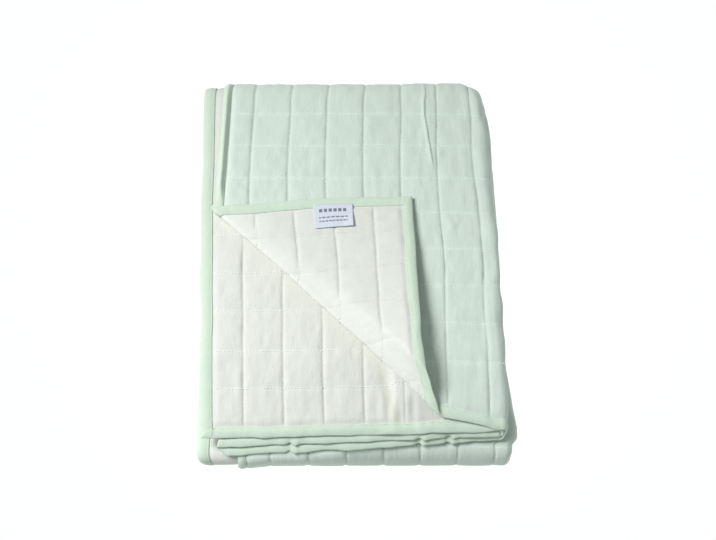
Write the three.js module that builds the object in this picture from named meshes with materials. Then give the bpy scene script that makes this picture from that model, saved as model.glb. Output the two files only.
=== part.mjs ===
// A quilted bedspread, folded in half twice across and twice along, with the front-left
// corner of its top layer turned back.  Every piece is drawn flat, in cloth coordinates
// u (across the quilt) and v (along it), and then folded by one shared function.
// Millimetres, +X right, +Y back, +Z up.
import * as THREE from "three";

// The flat quilt
const QUILT_WIDTH = 1500;
const QUILT_LENGTH = 2000;
const CELL_ACROSS = 50;
const CELL_ALONG = 52.6;
const FIRST_STITCH = 44;
const STITCH_DEPTH = 1.0;
const PUFF_RISE = 1.0;
const BINDING_WIDTH = 14;
const BINDING_SHOULDER = 3;
const SEAM_GAP = 0.5;

// The thickness of the cloth, as heights to either side of its middle
const HALF_THICK = 2.2;
const HALF_SLIT = 0.15;
const BINDING_EDGE = 1.1;

// Layers and runs in the pile
const LAYER_PITCH = 5.0;
const RUN_PITCH = 20.5;
const BACK_CENTRE_Y = 264;
const FRONT_CENTRE_Y = -222;
const HIDDEN_END_Y = -127;
const SAG_START_Y = -129;
const SAG_SLOPE = 0.215;
const TOP_RUN_LENGTH = 445;
const RIGHT_EDGE_Y = -212;

// Lengths of the four layers across the pile; the folds between them are half circles
const LAYER_1 = 356;
const LAYER_34 = 364.4;

// Where the free ends of the layers lie across the pile, at places along the cloth
const REACH = [
  { at: "topFront", right: 172, layer1: -190, layer2: -195, layer34: -166 },
  { at: "topBack", right: 168, layer1: -185, layer2: -212, layer34: -192 },
  { at: "bottomBack", right: 176, layer1: -178, layer2: -208, layer34: -190 },
  { at: "frontFold", right: 190, layer1: -149, layer2: -200, layer34: -178 },
  { at: "innerBack", right: 176, layer1: -178, layer2: -205, layer34: -190 },
  { at: "hiddenEnd", right: 182, layer1: -170, layer2: -200, layer34: -185 },
];

// How far forward each layer of the top run comes, left of the right-hand fold
const FRONT_EDGE = [
  { height: 1.5, y: -186 },
  { height: 0.5, y: -222 },
  { height: -0.5, y: -232 },
  { height: -1.5, y: -243 },
];

// The turned-back corner: its fold line on the top layer, and the roll along it
const TURN_FROM = new THREE.Vector2(-190, 103);
const TURN_TO = new THREE.Vector2(113.5, -181);
const TURN_RADIUS_FROM = 4.2;
const TURN_RADIUS_TO = 12.5;
const TURN_STEPS = 4;
const FLAP_HEIGHT = 6.4;
const FLAP_SETTLE = 130;
const SNAP = 0.8;

// The care label, sewn beside the binding on the reverse of that corner
const LABEL = { u: 14.7, v: 83, deep: 42, wide: 48, thick: 1.0, off: 1.6 };

const QUARTER_STEPS = 4;
const COLOURS = { face: 0xcfe0d3, reverse: 0xf1efe4, binding: 0xc3dcc9, label: 0xffffff };

// Lengths along the cloth at which each fold starts and ends
const outerArc = Math.PI * 1.5 * LAYER_PITCH;
const innerArc = Math.PI * 0.5 * LAYER_PITCH;
const U = sums([LAYER_1, outerArc, LAYER_34, innerArc, LAYER_34, innerArc]);
U.push(QUILT_WIDTH);

const outerTurn = 1.5 * RUN_PITCH;
const innerTurn = 0.5 * RUN_PITCH;
const lowRun = BACK_CENTRE_Y - FRONT_CENTRE_Y;
const V = sums([TOP_RUN_LENGTH, Math.PI * outerTurn, lowRun, Math.PI * innerTurn, lowRun]);
V.push(V[5] + Math.PI * innerTurn);
V.push(QUILT_LENGTH);

const BOTTOM_RUN_Z = 1.5 * LAYER_PITCH + HALF_THICK;
const PLACES = {
  topFront: V[0],
  topBack: V[1],
  bottomBack: V[2],
  frontFold: (V[3] + V[4]) / 2,
  innerBack: V[5],
  hiddenEnd: V[7],
};

function sums(lengths) {
  const out = [0];
  for (const length of lengths) {
    out.push(out[out.length - 1] + length);
  }
  return out;
}

// Straight-line reading of a table of [position, value] pairs
function read(pairs, at) {
  let i = 1;
  while (i < pairs.length - 1 && at > pairs[i][0]) {
    i += 1;
  }
  const [p0, q0] = pairs[i - 1];
  const [p1, q1] = pairs[i];
  return q0 + (q1 - q0) * THREE.MathUtils.clamp((at - p0) / (p1 - p0), 0, 1);
}

function reach(column, v) {
  return read(REACH.map((row) => [PLACES[row.at], row[column]]), v);
}

// Section across the pile: x, height above the run's middle, the height of the cloth's own
// middle there, and how far right the point lies (0 at the left edge, 1 at the fold)
function acrossPile(u, v, off) {
  const right = reach("right", v);
  const layers = [
    { end: U[1], from: reach("layer1", v), to: right, row: 1.5, faceUp: 1 },
    { end: U[2], centre: right, row: 0, radius: 1.5, side: 1, start: 1, faceOut: 1 },
    { end: U[3], from: right, to: reach("layer34", v), row: -1.5, faceUp: -1 },
    { end: U[4], centre: reach("layer34", v), row: -1, radius: 0.5, side: -1, start: -1, faceOut: 1 },
    { end: U[5], from: reach("layer34", v), to: right, row: -0.5, faceUp: 1 },
    { end: U[6], centre: right, row: 0, radius: 0.5, side: 1, start: -1, faceOut: -1 },
    { end: U[7], from: right, to: reach("layer2", v), row: 0.5, faceUp: -1 },
  ];
  const n = Math.max(0, layers.findIndex((layer) => u <= layer.end + 1e-9));
  const layer = layers[n];
  const share = (u - U[n]) / (U[n + 1] - U[n]);
  const middle = layer.row * LAYER_PITCH;
  if (layer.faceUp) {
    const x = layer.from + (layer.to - layer.from) * share;
    return { x, height: middle + layer.faceUp * off, middle, share: rightShare(x) };
  }
  const angle = Math.PI * share;
  const radius = layer.radius * LAYER_PITCH;
  const out = radius + layer.faceOut * off;
  return {
    x: layer.centre + layer.side * out * Math.sin(angle),
    height: middle + layer.start * out * Math.cos(angle),
    middle: middle + layer.start * radius * Math.cos(angle),
    share: rightShare(layer.centre),
  };
}

function rightShare(x) {
  return THREE.MathUtils.clamp((x + 180) / 350, 0, 1);
}

// How far forward the top run comes, for a layer and a place across it
function frontEdge(middle, share) {
  const rows = FRONT_EDGE.map((row) => [-row.height * LAYER_PITCH, row.y]);
  const left = read(rows, -middle);
  const bend = read([[0.5 * LAYER_PITCH, 1], [1.5 * LAYER_PITCH, 4]], middle);
  return left + (RIGHT_EDGE_Y - left) * share ** bend;
}

// Rolls the corner of the top layer over its fold line.  Beyond the line the cloth goes once
// round a half circle, which is wider towards the front edge, and comes back over the layer.
const turnLength = TURN_TO.distanceTo(TURN_FROM);
const turnAlong = TURN_TO.clone().sub(TURN_FROM).divideScalar(turnLength);
const turnOut = new THREE.Vector2(turnAlong.y, -turnAlong.x);

function turnPlace(x, y) {
  const from = new THREE.Vector2(x, y).sub(TURN_FROM);
  const along = from.dot(turnAlong);
  const share = THREE.MathUtils.clamp(along / turnLength, 0, 1);
  const radius = THREE.MathUtils.lerp(TURN_RADIUS_FROM, TURN_RADIUS_TO, share);
  return { along, beyond: from.dot(turnOut), radius };
}

function turnCorner(x, y, off) {
  const { along, beyond, radius } = turnPlace(x, y);
  if (beyond <= 0) {
    return { x, y, lift: off };
  }
  const angle = Math.min(beyond / radius, Math.PI);
  const past = Math.max(beyond - Math.PI * radius, 0);
  const out = (radius - off) * Math.sin(angle) - past;
  const fall = (2 * radius - FLAP_HEIGHT) * THREE.MathUtils.smoothstep(past, 0, FLAP_SETTLE);
  return {
    x: TURN_FROM.x + along * turnAlong.x + out * turnOut.x,
    y: TURN_FROM.y + along * turnAlong.y + out * turnOut.y,
    lift: radius - (radius - off) * Math.cos(angle) - fall,
  };
}

// Place of a cloth point in the pile.  off is the height from the cloth's middle, positive
// towards the face.
function fold(u, v, off) {
  const { x, height, middle, share } = acrossPile(u, v, off);
  const n = Math.max(0, [1, 2, 3, 4, 5, 6, 7].findIndex((i) => v <= V[i] + 1e-9));
  const angle = (Math.PI * (v - V[n])) / (V[n + 1] - V[n]);
  const run = (i) => BOTTOM_RUN_Z + i * RUN_PITCH;
  if (n === 0) {
    return topRun(u, v, off, { x, height, middle, share });
  }
  if (n === 1) {
    const out = outerTurn + height;
    return new THREE.Vector3(
      x, BACK_CENTRE_Y + out * Math.sin(angle), run(1.5) + out * Math.cos(angle));
  }
  if (n === 2) {
    return new THREE.Vector3(x, BACK_CENTRE_Y - (v - V[2]), run(0) - height);
  }
  if (n === 3) {
    const out = innerTurn + height;
    return new THREE.Vector3(
      x, FRONT_CENTRE_Y - out * Math.sin(angle), run(0.5) - out * Math.cos(angle));
  }
  if (n === 4) {
    return new THREE.Vector3(x, FRONT_CENTRE_Y + (v - V[4]), run(1) + height);
  }
  if (n === 5) {
    const out = innerTurn - height;
    return new THREE.Vector3(
      x, BACK_CENTRE_Y + out * Math.sin(angle), run(1.5) - out * Math.cos(angle));
  }
  const back = ((BACK_CENTRE_Y - HIDDEN_END_Y) * (v - V[6])) / (V[7] - V[6]);
  return new THREE.Vector3(x, BACK_CENTRE_Y - back, run(2) - height);
}

// The top run lies flat from the back to the first row of stitches and sags in front of it
function topRunY(v, middle, share) {
  if (v < CELL_ALONG) {
    return THREE.MathUtils.lerp(frontEdge(middle, share), SAG_START_Y, v / CELL_ALONG);
  }
  const step = (v - CELL_ALONG) / (TOP_RUN_LENGTH - CELL_ALONG);
  return THREE.MathUtils.lerp(SAG_START_Y, BACK_CENTRE_Y, step);
}

function topRun(u, v, off, place) {
  let x = place.x;
  let y = topRunY(v, place.middle, place.share);
  let height = place.height;
  if (u <= U[1]) {
    const turned = turnCorner(x, y, off);
    x = turned.x;
    y = turned.y;
    height = place.middle + turned.lift;
  }
  const sag = SAG_SLOPE * Math.max(0, SAG_START_Y - y);
  return new THREE.Vector3(x, y, BOTTOM_RUN_Z + 3 * RUN_PITCH + height - sag);
}

// Lines of the drawing across and along the cloth: stitches where they show, and the steps
// of each fold
function steps(from, to, count) {
  return Array.from({ length: count - 1 }, (_, i) => from + ((to - from) * (i + 1)) / count);
}

function stitches(first, pitch, from, to) {
  const out = [];
  for (let at = first; at < to - 1; at += pitch) {
    if (at > from + 1) {
      out.push(at);
    }
  }
  return out;
}

const half = 2 * QUARTER_STEPS;
const acrossLines = [
  ...stitches(FIRST_STITCH, CELL_ACROSS, 0, U[1]), U[1],
  ...steps(U[1], U[2], half), U[2],
  ...steps(U[2], U[3], 2), U[3],
  ...steps(U[3], U[4], 4), U[4],
  ...steps(U[4], U[5], 2), U[5],
  ...steps(U[5], U[6], 4), U[6],
  ...stitches(FIRST_STITCH, CELL_ACROSS, U[6], QUILT_WIDTH - BINDING_WIDTH),
];
const alongLines = [
  ...stitches(CELL_ALONG, CELL_ALONG, 0, V[1]), V[1],
  ...steps(V[1], V[2], half), V[2], V[3],
  ...steps(V[3], V[4], half), V[4], V[5],
  ...steps(V[5], V[6], 4), V[6],
];

// Quilting shows on the first and second layers of the top run
const lastRow = CELL_ALONG * Math.floor(TOP_RUN_LENGTH / CELL_ALONG);
const lastColumn = Math.max(...stitches(FIRST_STITCH, CELL_ACROSS, 0, U[1]));
const secondColumn = Math.min(...stitches(FIRST_STITCH, CELL_ACROSS, U[6], QUILT_WIDTH));

function quilted(u, v) {
  return v <= lastRow && (u <= lastColumn || u >= secondColumn);
}

// Share of the way up a puff, from the stitches round its square to its middle
function puff(u, v, lines) {
  const place = (at, all) => {
    const i = Math.max(1, all.findIndex((line) => at <= line + 1e-9));
    return (2 * (at - all[i - 1])) / (all[i] - all[i - 1]) - 1;
  };
  return 1 - Math.max(Math.abs(place(u, lines.across)), Math.abs(place(v, lines.along)));
}

// A flat net of triangles on a grid of lines; squares with a puff get a middle point
function net(across, along, keep, raised) {
  const points = [];
  const triangles = [];
  const at = across.map((u) => along.map((v) => points.push([u, v]) - 1));
  for (let i = 0; i + 1 < across.length; i += 1) {
    for (let j = 0; j + 1 < along.length; j += 1) {
      const middle = [(across[i] + across[i + 1]) / 2, (along[j] + along[j + 1]) / 2];
      if (!keep(...middle)) {
        continue;
      }
      const ring = [at[i][j], at[i + 1][j], at[i + 1][j + 1], at[i][j + 1]];
      if (raised(...middle)) {
        const m = points.push(middle) - 1;
        ring.forEach((a, k) => triangles.push([a, ring[(k + 1) % 4], m]));
      } else {
        triangles.push([ring[0], ring[1], ring[2]], [ring[0], ring[2], ring[3]]);
      }
    }
  }
  return { points, triangles };
}

// Cuts the triangles of a net along the line where a distance is zero
function score(flat, distance) {
  const points = [...flat.points];
  const side = points.map(([u, v]) => {
    const d = distance(u, v);
    return Math.abs(d) < SNAP ? 0 : d;
  });
  const made = new Map();
  const cross = (a, b) => {
    const key = a < b ? `${a},${b}` : `${b},${a}`;
    if (!made.has(key)) {
      const t = side[a] / (side[a] - side[b]);
      const [p, q] = [points[a], points[b]];
      made.set(key, points.push([p[0] + (q[0] - p[0]) * t, p[1] + (q[1] - p[1]) * t]) - 1);
      side.push(0);
    }
    return made.get(key);
  };
  const triangles = flat.triangles.flatMap(([a, b, c]) => {
    for (const [p, q, r] of [[a, b, c], [b, c, a], [c, a, b]]) {
      if (side[p] === 0 && side[q] * side[r] < 0) {
        const m = cross(q, r);
        return [[p, q, m], [p, m, r]];
      }
      if (side[p] * side[q] < 0 && side[p] * side[r] < 0) {
        const m = cross(p, q);
        const k = cross(p, r);
        return [[p, m, k], [m, q, r], [m, r, k]];
      }
    }
    return [[a, b, c]];
  });
  return { points, triangles };
}

// Distance of a cloth point from one of the lines that the corner rolls over
function fromTurn(u, v, step) {
  if (u > U[1] || v > V[1]) {
    return -1e6;
  }
  const { x, middle, share } = acrossPile(u, v, 0);
  const { beyond, radius } = turnPlace(x, topRunY(v, middle, share));
  return beyond - (Math.PI * radius * step) / TURN_STEPS;
}

function scoredForTurn(flat) {
  let out = flat;
  for (let step = 0; step <= TURN_STEPS; step += 1) {
    out = score(out, (u, v) => fromTurn(u, v, step));
  }
  return out;
}

// Closes a net into a sheet between two offsets and folds it into the pile
function sheet(name, colour, flat, high, low) {
  const used = new Map();
  const kept = [];
  const index = (a) => {
    if (!used.has(a)) {
      used.set(a, kept.push(flat.points[a]) - 1);
    }
    return used.get(a);
  };
  const top = flat.triangles.map((triangle) => triangle.map(index));
  const count = kept.length;
  const edges = new Map();
  for (const [a, b, c] of top) {
    edges.set(`${a},${b}`, [a, b]);
    edges.set(`${b},${c}`, [b, c]);
    edges.set(`${c},${a}`, [c, a]);
  }
  const faces = [];
  for (const [a, b, c] of top) {
    faces.push(a, b, c, a + count, c + count, b + count);
  }
  for (const [a, b] of edges.values()) {
    if (edges.has(`${b},${a}`)) {
      continue;
    }
    // both sides of a seam split their edge faces the same way, so that they stay parallel
    const along = kept[b][0] + kept[b][1] > kept[a][0] + kept[a][1];
    if (along) {
      faces.push(b, a, a + count, b, a + count, b + count);
    } else {
      faces.push(b, a, b + count, a, a + count, b + count);
    }
  }
  const places = [
    ...kept.map(([u, v]) => fold(u, v, high(u, v))),
    ...kept.map(([u, v]) => fold(u, v, low(u, v))),
  ];
  const geometry = new THREE.BufferGeometry().setFromPoints(places);
  geometry.setIndex(faces);
  geometry.computeVertexNormals();
  const material = new THREE.MeshStandardMaterial({ color: colour, roughness: 0.95 });
  const mesh = new THREE.Mesh(geometry, material);
  mesh.name = name;
  return mesh;
}

// The panels: the face cloth and the reverse cloth, cut to the inside of the binding
const inset = BINDING_WIDTH + SEAM_GAP;
const panelLines = {
  across: [inset, ...acrossLines, QUILT_WIDTH - inset],
  along: [inset, ...alongLines, QUILT_LENGTH - inset],
};
const panelNet = scoredForTurn(
  net(panelLines.across, panelLines.along, () => true, quilted));

// Half thickness with the quilting: stitches draw the cloth in, and a puff rises where
// nothing lies on it
function surface(u, v, open) {
  if (!quilted(u, v)) {
    return HALF_THICK;
  }
  const up = puff(u, v, panelLines);
  return HALF_THICK - STITCH_DEPTH * (1 - up) + (open ? PUFF_RISE * up : 0);
}

function faceSurface(u, v) {
  return surface(u, v, u <= U[1] && fromTurn(u, v, 0) <= 0);
}

// The reverse is open on the turned-back corner and on the second layer that it uncovers
function reverseSurface(u, v) {
  if (u <= U[1]) {
    return surface(u, v, fromTurn(u, v, TURN_STEPS) >= 0);
  }
  const { x, middle, share } = acrossPile(u, v, 0);
  const { beyond, radius } = turnPlace(x, topRunY(v, middle, share));
  return surface(u, v, beyond > 3 * radius);
}

const facePanel = sheet(
  "face_panel", COLOURS.face, panelNet, faceSurface, () => HALF_SLIT);
const reversePanel = sheet(
  "reverse_panel", COLOURS.reverse, panelNet, () => -HALF_SLIT, (u, v) => -reverseSurface(u, v));

// The binding: a tape round all four edges, with a rounded outer edge
const rims = (length) => [
  [0, BINDING_SHOULDER, BINDING_WIDTH],
  [length - BINDING_WIDTH, length - BINDING_SHOULDER, length],
];
const [leftRim, rightRim] = rims(QUILT_WIDTH);
const [frontRim, backRim] = rims(QUILT_LENGTH);
const inBinding = (u, v) =>
  Math.min(u, QUILT_WIDTH - u, v, QUILT_LENGTH - v) < BINDING_WIDTH;
const bindingNet = scoredForTurn(net(
  [...leftRim, ...acrossLines, ...rightRim],
  [...frontRim, ...alongLines, ...backRim],
  inBinding, () => false));

function bindingHalf(u, v) {
  const fromEdge = Math.min(u, QUILT_WIDTH - u, v, QUILT_LENGTH - v);
  return THREE.MathUtils.lerp(
    BINDING_EDGE, HALF_THICK, Math.min(1, fromEdge / BINDING_SHOULDER));
}

const binding = sheet(
  "binding", COLOURS.binding, bindingNet, bindingHalf, (u, v) => -bindingHalf(u, v));

// The care label lies on the reverse cloth of the turned-back corner
const labelNet = net(
  [LABEL.u, ...steps(LABEL.u, LABEL.u + LABEL.deep, 3), LABEL.u + LABEL.deep],
  [LABEL.v, ...steps(LABEL.v, LABEL.v + LABEL.wide, 3), LABEL.v + LABEL.wide],
  () => true, () => false);
const labelTop = -HALF_THICK - LABEL.off;
const label = sheet(
  "care_label", COLOURS.label, labelNet, () => labelTop, () => labelTop - LABEL.thick);

const quilt = new THREE.Group();
quilt.name = "quilted_bedspread";
quilt.add(facePanel, reversePanel, binding, label);

// The pile stands over the middle of its own outline
const box = new THREE.Box3().setFromObject(quilt);
const centre = box.getCenter(new THREE.Vector3());
for (const piece of quilt.children) {
  piece.geometry.translate(-centre.x, -centre.y, 0);
}

export default quilt;
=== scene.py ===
"""A light two-sided quilted bedspread, folded in four each way, with a corner turned back.

Every piece is drawn flat in cloth coordinates, u across the quilt and v along it, in
millimetres, and is then folded into the pile by one shared function.
"""
from functools import partial

import bpy
import numpy as np
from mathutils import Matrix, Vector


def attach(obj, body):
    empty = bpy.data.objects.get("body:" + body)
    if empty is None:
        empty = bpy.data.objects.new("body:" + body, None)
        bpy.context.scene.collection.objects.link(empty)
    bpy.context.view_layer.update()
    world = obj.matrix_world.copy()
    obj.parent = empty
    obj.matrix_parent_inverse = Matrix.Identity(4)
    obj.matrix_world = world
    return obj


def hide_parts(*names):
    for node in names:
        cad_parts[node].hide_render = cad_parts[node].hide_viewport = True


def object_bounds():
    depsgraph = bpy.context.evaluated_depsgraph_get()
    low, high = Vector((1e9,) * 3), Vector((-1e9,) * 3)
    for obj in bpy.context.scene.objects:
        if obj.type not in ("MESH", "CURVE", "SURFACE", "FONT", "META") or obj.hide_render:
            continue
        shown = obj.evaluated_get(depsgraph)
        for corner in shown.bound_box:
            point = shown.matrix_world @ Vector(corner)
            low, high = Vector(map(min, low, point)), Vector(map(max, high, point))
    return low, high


bl_info = {
    "name": "Folded quilted bedspread",
    "version": (1, 0, 0),
    "blender": (4, 5, 0),
    "location": "3D View > Sidebar > Bedspread",
    "description": "Cloths, binding, label, sewing threads and stage of a folded quilt",
    "category": "Mesh",
}

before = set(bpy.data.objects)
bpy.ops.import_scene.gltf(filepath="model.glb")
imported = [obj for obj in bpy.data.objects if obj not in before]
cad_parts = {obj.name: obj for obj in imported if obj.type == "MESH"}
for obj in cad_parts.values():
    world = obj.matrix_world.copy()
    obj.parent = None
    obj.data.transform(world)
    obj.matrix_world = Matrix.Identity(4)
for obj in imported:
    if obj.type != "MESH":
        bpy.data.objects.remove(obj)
CAD_BOX = [[float(c) for c in corner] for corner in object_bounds()]
MM = 0.001

# The flat quilt
WIDTH, LENGTH = 1500.0, 2000.0
CELL_ACROSS, CELL_ALONG, FIRST_STITCH = 50.0, 52.6, 50.0
COLUMNS = FIRST_STITCH + CELL_ACROSS * np.arange(np.ceil((WIDTH - FIRST_STITCH) / CELL_ACROSS))
ROWS = CELL_ALONG * np.arange(1, np.ceil(LENGTH / CELL_ALONG))
HALF_THICK, HALF_SLIT = 2.2, 0.15
BINDING_WIDTH, TUCK = 14.0, 10.0

# The pile: layers across it, runs along it
LAYER_PITCH, RUN_PITCH = 5.0, 20.5
LAYER_1, LAYER_34, TOP_RUN = 362.0, 364.4, 445.0
BACK_Y, FRONT_Y, HIDDEN_END_Y = 264.0, -222.0, -127.0
SAG_START_Y, SAG_SLOPE, SAG_EASE = -129.0, 0.215, 22.0
OUTER_TURN, INNER_TURN = 1.5 * RUN_PITCH, 0.5 * RUN_PITCH
LOW_RUN = BACK_Y - FRONT_Y
BOTTOM_Z = 1.5 * LAYER_PITCH + HALF_THICK
OUTER_ARC, INNER_ARC = np.pi * 1.5 * LAYER_PITCH, np.pi * 0.5 * LAYER_PITCH
U = np.cumsum([0, LAYER_1, OUTER_ARC, LAYER_34, INNER_ARC, LAYER_34, INNER_ARC])
U = np.append(U, WIDTH)
V = np.cumsum([0, TOP_RUN, np.pi * OUTER_TURN, LOW_RUN, np.pi * INNER_TURN, LOW_RUN,
               np.pi * INNER_TURN])
V = np.append(V, LENGTH)

# Where the layers end across the pile, at places along the cloth, and the stretch of x over
# which the share of the way to the right-hand fold grows
PLACES = np.array([V[0], V[1], V[2], V[3] - 70, V[3], V[4] - 6, V[4] + 3, V[4] + 40,
                   V[4] + 110, V[5], V[7]])
REACH = {
    "right": (175, 169, 176, 177, 179, 182, 190, 185, 178, 176, 172),
    "layer 1": (-196, -191, -184, -164, -156, -155, -157, -160, -165, -184, -176),
    "layer 2": (-194, -211, -208, -202, -200, -200, -200, -201, -202, -205, -200),
    "layers 3, 4": (-157, -192, -190, -181, -179, -178, -179, -180, -182, -190, -185),
}
WIDEST_REACH = 190.0
SHARE_X, SHARE_SPAN = -180.0, 350.0

# The seven stretches across: height of the middle, bend radius, side and start of the bend,
# and whether the face looks up or out of the bend
ROW = np.array([1.5, 0, -1.5, -1, -0.5, 0, 0.5]) * LAYER_PITCH
BEND = np.array([0, 1.5, 0, 0.5, 0, 0.5, 0]) * LAYER_PITCH
SIDE = np.array([0, 1, 0, -1, 0, 1, 0])
START = np.array([0, 1, 0, -1, 0, -1, 0])
FACING = np.array([1, 1, -1, 1, 1, -1, -1])

# Front edges of the top run's layers, from the lowest up, and rows of the layers
EDGE_HEIGHT = np.array([-1.5, -0.5, 0.5, 1.5]) * LAYER_PITCH
EDGE_Y = np.array([-240.5, -231.0, -222.0, -186.0])
RIGHT_EDGE_Y = np.array([-220.5, -216.5, -212.5, -212.0])
EDGE_BEND = (1, 4)
FIRST_ROWS_V = (CELL_ALONG, 6.5 * CELL_ALONG, 8 * CELL_ALONG, TOP_RUN)
FIRST_ROWS_Y = (SAG_START_Y, 162.0, 236.5, BACK_Y)
LOWER_ROWS_V = (*CELL_ALONG * np.arange(1, 6), TOP_RUN)
LOWER_ROWS_Y = (-161.0, -113.0, -57.0, -2.5, 51.0, BACK_Y)
FIRST_SHORT, LOWER_SHORT, SHORT_FROM = 0.60, 0.80, (0.82, 0.08)

# The turned-back corner, which reaches to FLAP_U and FLAP_V on the flat quilt.  Here and
# below, pairs say where a change starts and how long it takes; on the corner's fold line
# they are shares of its length
TURN_FROM = np.array([-195.0, 97.7])
TURN_TO = np.array([103.1, -192.2])
TURN_LENGTH = np.hypot(*(TURN_TO - TURN_FROM))
TURN_ALONG = (TURN_TO - TURN_FROM) / TURN_LENGTH
TURN_OUT = np.array([TURN_ALONG[1], -TURN_ALONG[0]])
TURN_RADIUS = (2.6, 3.4)
FLAP_U, FLAP_V = 335.0, 315.0
FLAP_HEIGHT, FLAP_SETTLE = 6.4, 130.0
SWELL, SWELL_FROM, SWELL_RISE, SWELL_FALL = 19.0, (0.35, 0.55), 24.0, 200.0
TIP_CURL, TIP_REACH = 7.0, 30.0
FLAP_DRAW, FLAP_STRETCH, FLAP_STILL_Y, FLAP_LIES = 4.5, 0.03, -65.0, 110.0
EDGE_DRAW, EDGE_REACH, EDGE_EASE = 5.8, 65.0, 25.0
TIP_DRAW, TIP_FROM, EDGE_CURL, CURL_FROM = 4.5, (0.75, 0.1), 5.0, (0.42, 0.3)
FLAP_BOW, BOW_V, BOW_WIDTH = 2.8, 110.0, 75.0

# Shift from the drawing to the frame, from the frame's own box
SHIFT_X = CAD_BOX[1][0] / MM - (WIDEST_REACH + 1.5 * LAYER_PITCH + HALF_THICK)
SHIFT_Y = CAD_BOX[1][1] / MM - (BACK_Y + OUTER_TURN + 1.5 * LAYER_PITCH + HALF_THICK)

# Loose cloth on top of the pile: creases as lines on the plan, with height and width
CREASE_U, CREASE_DEPTH, CREASE_CLEAR, CREASE_END = 15.5, 0.8, (-2.0, -10.0), (V[2] - 20, -60.0)
CREASE_BANK, BANK_WIDTH, EDGE_LIFT, LIFT_WIDTH = 5.4, 9.0, 1.5, 13.0
CREASE_DRAW, CREASE_DRAW_U, CREASE_DRAW_V = 6.5, (30.0, -30.0), (235.0, 50.0)
PLEAT = ((98, 290), (89.7, 257), (89.7, 236), (95.7, 192), (103, 140))
PLEAT_HEIGHT, PLEAT_WIDTHS = 2.2, (1.1, 3.2)
DRAG_LINES = (
    (((113, 84), (120, 70), (128, 57)), 1.2, 3.5),
    (((-158, 124), (-148, 115), (-138, 105)), 1.0, 3.5),
)
SECOND_LINES = (
    (((27, -118), (33, -152), (36, -166), (43, -182)), -3.0, 4.5),
    (((68, -164), (70, -176), (72, -186)), -1.4, 4.0),
)
FIRST_SLACK, FLAP_SLACK, SECOND_SLACK, SECOND_LOWEST = 0.9, 0.7, 0.5, -1.1
GATHERS_X, GATHERS_Y, GATHERS_PITCH, GATHERS_HEIGHT = 37.5, -176.0, 15.0, 1.6
GATHERS_MIDDLE, GATHERS_WIDE, GATHERS_DEEP = 58.0, 32.0, 22.0
SIDE_CREASE, SIDE_FROM, SIDE_PUFF, PUFF_FROM = 1.1, (-45.0, 40.0), 1.6, (-12.0, 20.0)
LOOSE_END, LIES_FROM, LIES_TO = (V[1] + 45, -60.0), (-26.0, 26.0), (0.9, 0.1)

# Where the second layer swells up to meet the corner's roll, and its valley in front
MEET_IN, MEET_GAP, MEET_WIDTH, MEET_DROP = 2.4, 0.7, 11.0, 4.0
VALLEY, VALLEY_WIDTH, VALLEY_RISE = ((27.0, -118.0), (46.0, -188.0)), 13.0, 8.0
# VALLEY_LINE and VALLEY_SHADE place the valley's painted shade: where it lies across it, and its
# width
VALLEY_FROM, VALLEY_LINE, VALLEY_SHADE = (-4.0, 22.0), -3.0, 6.0
SECOND_SHIFT, SHIFT_LEFT, SHIFT_RIGHT = 3.8, (WIDTH, -40.0), (U[6], 100.0)

# Front edges, front fold and back of the pile
NOSE_SLANT, NOSE_FROM, NOSE_FADE, NOSE_X = 15.2, 1.53, 40.0, (-90.0, -50.0)
EDGE_WAVE, EDGE_BAND, LAYER_APART = 1.3, 45.0, 5.3
PINCHES, PINCH_WIDTH, PINCH_DEPTH = (-83.5, 75.0, 111.0), 3.2, 3.0
FRONT_SQUARE, FRONT_BULGE, BULGE_X = 0.68, 5.0, (-80.0, -90.0)
FRONT_LEAN, LEAN_FROM, LEAN_FADE, LEAN_X = 11.0, (0.25, 0.6), 90.0, (-110.0, 200.0)
BACK_FROM, BACK_DRAW, DRAW_X = (215.0, 85.0), 3.0, (10.0, 110.0)
BACK_TAPER, TAPER_X, TAPER_Y = 6.0, (60.0, 120.0), (30.0, 200.0)
BACK_CORNER, CORNER_X, ROUND_X = 15.0, (140.0, 40.0), (138.0, 36.0)
FRONT_CORNER, LEFT_X, NEAR_Y, LOW_Z = 13.0, (-165.0, -30.0), (-190.0, -30.0), (34.0, -34.0)
PILE_HEIGHT, UNEVEN_HEIGHT = 75.0, 14.0

# Quilting: half thickness at a stitch and in the binding, how much the corner's roll smooths
# its columns and how deep its rows are, two sizes of slack, where the face stands open, and the
# strip of the second layer that shows on the left
SEWN_HALF, TUCKED_HALF = 0.45, 0.95
ROLL_SMOOTHS, FLAP_ROWS, SLOW_SLACK, QUICK_SLACK = 0.75, 0.8, 0.50, 0.46
FACE_OPEN_V = (V[2] - 45, V[2] - 5, V[3] + 3, V[3] + 20, V[4], V[4] + 25)
FACE_OPEN = (1, 0, 0, 0.4, 0.4, 0)
LEFT_STRIP = 60.0

# The label, and its print: distance from the top, half height, pitch of the marks and their
# share of it
LABEL_U, LABEL_V, LABEL_THICK, LABEL_SPACING = 10.8, 79.5, 0.5, 1.5
LABEL_PRINT = ((9.0, 2.5, 6.3, 0.68), (18.8, 0.9, 6.1, 0.78), (23.8, 0.9, 4.7, 0.74))
LABEL_MARGIN, LABEL_INK, LABEL_COVER = 7.0, (0.13, 0.15, 0.20, 1.0), 0.9
LABEL_BASE, LABEL_CLIMB, LABEL_RISE, LABEL_LIFT, LABEL_RIPPLE = 2.5, 1.5, 1.2, 1.6, 0.35

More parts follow.
